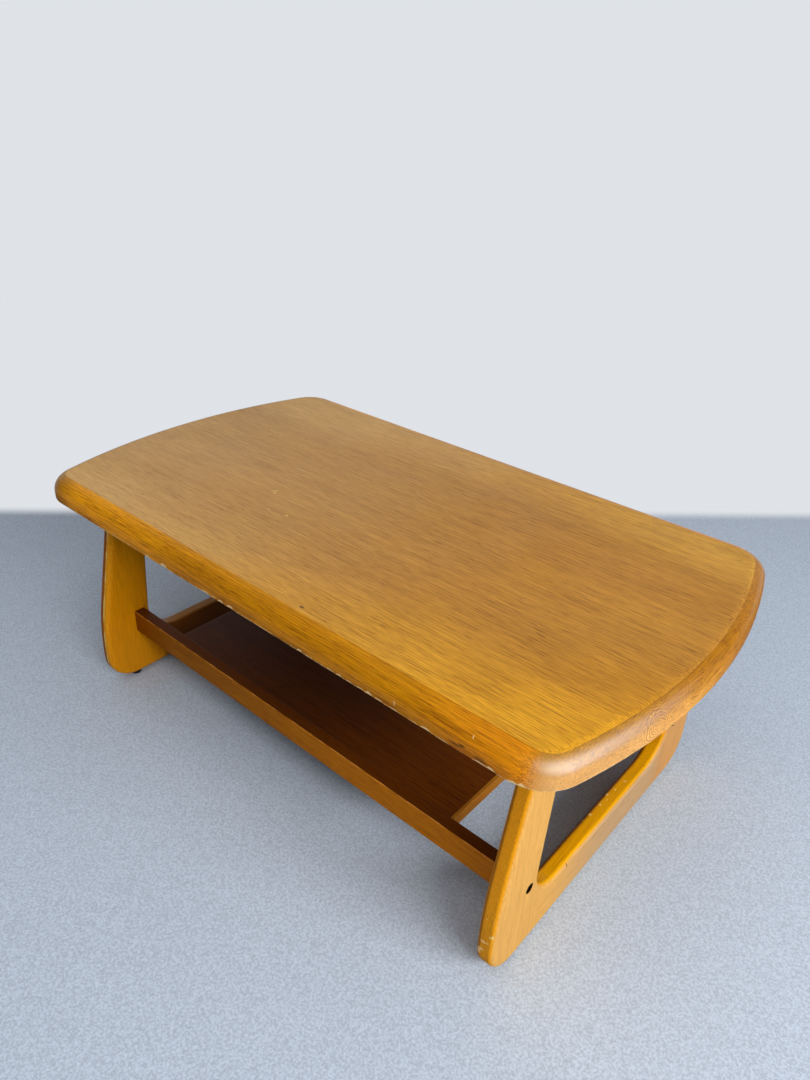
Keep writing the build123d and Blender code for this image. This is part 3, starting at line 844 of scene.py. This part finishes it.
def metal(name, colour, roughness):
    """Rubbed steel with fine scratches."""
    finish = Finish(name)
    scratch = finish.noise((900, 260, 900), 2.0, 0.6, 0.3, 5.0)
    finish.colour = finish.mix(finish.span(scratch, 0.35, 0.7), shade(colour, 0.8), colour)
    finish.roughness = finish.math("MULTIPLY_ADD", scratch, 0.2, roughness - 0.1)
    finish.height = scratch
    finish.shader.inputs["Metallic"].default_value = 1.0
    return finish.done(bump=0.1)


def plastic(name, colour):
    """Moulded plastic, scuffed dull."""
    finish = Finish(name)
    scuff = finish.noise((400, 400, 400), 3.0, 0.6, 0.0, 6.0)
    scuffed = tuple(channel + 0.03 for channel in colour)
    finish.colour = finish.mix(finish.span(scuff, 0.45, 0.8), colour, scuffed)
    finish.roughness = finish.math("MULTIPLY_ADD", scuff, 0.25, 0.4)
    finish.height = scuff
    return finish.done(bump=0.15)


# ---------------------------------------------------------------- pieces

def build_slab(finishes):
    """The face veneer, and the four lippings cut from one swept slab. Returns a collection of the four
    lippings.
    """
    sheet = swept(veneer_rows)
    show("top_veneer_sheet", sheet, finishes["top_veneer"], ["top_face_veneer"])
    whole = swept(body_rows)
    wear_edge(whole)
    right = (SEAM_X, 0, 0)
    left = (-SEAM_X, 0, 0)
    between_ends = [(right, (1, 0, 0)), (left, (-1, 0, 0))]
    pieces = {
        "right_end_rim": ("top_right_end_lipping", [(right, (-1, 0, 0))]),
        "left_end_rim": ("top_left_end_lipping", [(left, (1, 0, 0))]),
        "front_rim": ("top_front_lipping", between_ends + [((0, -SEAM_Y, 0), (0, 1, 0))]),
        "back_rim": ("top_back_lipping", between_ends + [((0, SEAM_Y, 0), (0, -1, 0))]),
    }
    rims = bpy.data.collections.new("rims")
    for name, (node, planes) in pieces.items():
        bm = whole.copy()
        for point, normal in planes:
            cut_off(bm, point, normal)
        finish = finishes["edge_wood" if "end" in name else "side_rims"]
        rims.objects.link(show(name, bm, finish, [node]))
    whole.free()
    return rims


def dress_nodes(finishes):
    """Gives each CAD node that stays its material."""
    special = {
        "leg": "leg_wood",
        "foot_rail": "foot_wood",
        "top_rail": "foot_wood",
        "edge_strip": "strip_wood",
        "underside_veneer": "underside_wood",
    }
    slots = {part["node"]: part["material_slot"] for part in frame["record"]["subparts"]}
    for name, item in frame["nodes"].items():
        choice = slots[name]
        for ending, finish in special.items():
            if name.endswith(ending):
                choice = finish
        item.data.materials.clear()
        item.data.materials.append(finishes[choice])


# ---------------------------------------------------------------- stage, light and camera

FLOOR_HALF = 30.0
BACK = Vector((-0.702, 0.712, 0))     # towards the plain backdrop behind the table
BACK_DISTANCE = 0.782                 # where the floor gives way to it
BACK_BLUR = 0.03                      # half the width of that change
FADE_START = 3.0                      # elsewhere the floor fades out far from the table
FADE_END = 6.0
FLOOR_COLOUR = (0.53, 0.61, 0.73)
FLOOR_DARK = 0.82                     # its speckles, against its colour
FLOOR_PALE = 1.15
SKY_COLOUR = (0.74, 0.765, 0.80)
SKY_DIM = 0.12                        # how bright reflections see it away from the backdrop
SKY_TURN = (0.30, 0.80)               # cosines of the turn towards the backdrop that brighten it
FLOOR_GLOSS = 0.15                    # how bright reflections see the floor
FILL_COLOUR = (0.97, 0.98, 1.0)
FILL_LOW = 0.0                        # fill light from the horizon and from overhead
FILL_HIGH = 0.39
FILL_RISE = (0.05, 0.95)              # heights in the unit sphere between which it grows


def build_floor():
    """A plain pale floor with a fine speckle."""
    bm = bmesh.new()
    bmesh.ops.create_grid(bm, x_segments=8, y_segments=8, size=FLOOR_HALF)
    mesh = bpy.data.meshes.new("floor")
    bm.to_mesh(mesh)
    bm.free()
    finish = Finish("pale_floor")
    speckle = finish.noise((320, 320, 320), 2.0, 0.7)
    dark, pale = shade(FLOOR_COLOUR, FLOOR_DARK), shade(FLOOR_COLOUR, FLOOR_PALE)
    finish.colour = finish.mix(finish.span(speckle, 0.3, 0.7), dark, pale)
    finish.roughness = 0.95
    finish.height = speckle
    material = finish.done(bump=0.1, level=0.1)
    fade_out(finish)
    mesh.materials.append(material)
    floor = bpy.data.objects.new("floor", mesh)
    bpy.context.scene.collection.objects.link(floor)


def fade_out(finish):
    """Turns the floor into the backdrop behind and far from the table, and dims it in reflections."""
    far = finish.span(finish.vector("LENGTH", finish.place), FADE_START, FADE_END)
    behind = finish.vector("DOT_PRODUCT", finish.place, BACK)
    behind = finish.span(behind, BACK_DISTANCE - BACK_BLUR, BACK_DISTANCE + BACK_BLUR)
    path = finish.tree.nodes.new("ShaderNodeLightPath")
    glossy = path.outputs["Is Glossy Ray"]
    seen = finish.math("MULTIPLY", finish.math("MAXIMUM", far, behind), path.outputs["Is Camera Ray"])
    plain = finish.node("ShaderNodeEmission", Color=SKY_COLOUR)
    reflected = finish.blend(behind, FLOOR_GLOSS, 1.0)
    finish.put(plain.inputs["Strength"], finish.blend(glossy, 1.0, reflected))
    mix = finish.tree.nodes.new("ShaderNodeMixShader")
    finish.put(mix.inputs[0], finish.math("MAXIMUM", seen, glossy))
    finish.put(mix.inputs[1], finish.shader.outputs[0])
    finish.put(mix.inputs[2], plain.outputs[0])
    output = finish.tree.nodes["Material Output"]
    finish.put(output.inputs["Surface"], mix.outputs[0])


def build_world():
    """Pale surroundings: soft fill from above, the backdrop for the camera, haze in reflections."""
    world = bpy.data.worlds.new("studio")
    bpy.context.scene.world = world
    world.use_nodes = True
    graph = Graph(world.node_tree)
    nodes = world.node_tree.nodes
    direction = graph.node("ShaderNodeTexCoord").outputs["Generated"]
    height = graph.node("ShaderNodeSeparateXYZ", Vector=direction).outputs[2]
    path = nodes.new("ShaderNodeLightPath")
    strength = graph.span(height, *FILL_RISE, FILL_LOW, FILL_HIGH)
    fill = graph.node("ShaderNodeBackground", Color=FILL_COLOUR, Strength=strength)
    towards_back = graph.vector("DOT_PRODUCT", direction, BACK)
    strength = graph.span(towards_back, *SKY_TURN, SKY_DIM, 1.0)
    haze = graph.node("ShaderNodeBackground", Color=SKY_COLOUR, Strength=strength)
    backdrop = graph.node("ShaderNodeBackground", Color=SKY_COLOUR, Strength=1.0)
    lit = nodes.new("ShaderNodeMixShader")
    graph.put(lit.inputs[0], path.outputs["Is Glossy Ray"])
    graph.put(lit.inputs[1], fill.outputs[0])
    graph.put(lit.inputs[2], haze.outputs[0])
    seen = nodes.new("ShaderNodeMixShader")
    graph.put(seen.inputs[0], path.outputs["Is Camera Ray"])
    graph.put(seen.inputs[1], lit.outputs[0])
    graph.put(seen.inputs[2], backdrop.outputs[0])
    graph.put(nodes["World Output"].inputs["Surface"], seen.outputs[0])


WARM = (1.0, 0.99, 0.97)
WINDOW_PLACE = (3.21, -0.50, 2.05)
WINDOW_SIZE = (3.2, 0.65)
WINDOW_TILT = -20                     # degrees, higher towards the front
WINDOW_POWER = 121
GLINT_SIZE = (4.2, 3.0)
GLINT_POWER = 700
GLINT_COLOUR = (0.66, 0.94, 2.1)      # cool, as the rims' gleam warms it again
NEAR_CORNER = (0.48, -0.26, 0.40)
CEILING_PLACE = (0.4, -1.3, 2.6)
CEILING_SIZE = (2.4, 2.4)
CEILING_POWER = 19
SLAB_MIDDLE = (0, 0, 0.4)


def area_light(name, place, target, size, power, colour, tilt=0):
    """A rectangular lamp that faces a target; tilt turns it about its own axis, in degrees."""
    lamp = bpy.data.lights.new(name, "AREA")
    lamp.shape = "RECTANGLE"
    lamp.size, lamp.size_y = size
    lamp.energy = power
    lamp.color = colour
    holder = bpy.data.objects.new(name, lamp)
    bpy.context.scene.collection.objects.link(holder)
    holder.location = place
    aim = (Vector(target) - Vector(place)).to_track_quat("-Z", "Y")
    holder.rotation_euler = (aim @ Quaternion((0, 0, 1), math.radians(tilt))).to_euler()
    return holder


def build_lights(rims):
    """Window, ceiling, and a wide bright pane round the window that only the rounded rims mirror."""
    area_light("window", WINDOW_PLACE, NEAR_CORNER, WINDOW_SIZE, WINDOW_POWER, WARM, WINDOW_TILT)
    glint = area_light("glint", WINDOW_PLACE, NEAR_CORNER, GLINT_SIZE, GLINT_POWER, GLINT_COLOUR,
                       WINDOW_TILT)
    glint.visible_diffuse = False
    glint.light_linking.receiver_collection = rims
    ceiling = area_light("ceiling", CEILING_PLACE, SLAB_MIDDLE, CEILING_SIZE, CEILING_POWER, WARM)
    ceiling.visible_glossy = False


CAMERA_PLACE = (720.0 * MM, -822.3 * MM, 973.2 * MM)
CAMERA_YAW = 0.69352          # radians, to the left of straight back
CAMERA_PITCH = 0.51057        # radians, below the level
CAMERA_ROLL = -0.04528
FOCAL_PIXELS = 807.16         # focal length, in pixels of a picture PICTURE_HEIGHT high
PICTURE_HEIGHT = 1080
SENSOR = 36.0


def build_camera():
    """The camera at the fitted viewpoint, turned by yaw, pitch and roll."""
    yaw, pitch, roll = CAMERA_YAW, CAMERA_PITCH, CAMERA_ROLL
    forward = Vector((-math.sin(yaw) * math.cos(pitch),
                      math.cos(yaw) * math.cos(pitch),
                      -math.sin(pitch)))
    level_right = Vector((math.cos(yaw), math.sin(yaw), 0))
    level_down = forward.cross(level_right)
    right = math.cos(roll) * level_right + math.sin(roll) * level_down
    down = -math.sin(roll) * level_right + math.cos(roll) * level_down
    rotation = Matrix((right, -down, -forward)).transposed().to_4x4()
    lens = bpy.data.cameras.new("view")
    lens.sensor_width = SENSOR
    lens.lens = FOCAL_PIXELS / PICTURE_HEIGHT * SENSOR
    lens.clip_start = 0.01
    camera = bpy.data.objects.new("view", lens)
    camera.matrix_world = Matrix.Translation(CAMERA_PLACE) @ rotation
    bpy.context.scene.collection.objects.link(camera)
    bpy.context.scene.camera = camera


finishes = make_finishes()
dress_nodes(finishes)
rims = build_slab(finishes)
build_floor()
build_world()
build_lights(rims)
build_camera()
bpy.context.scene.view_settings.view_transform = "Standard"
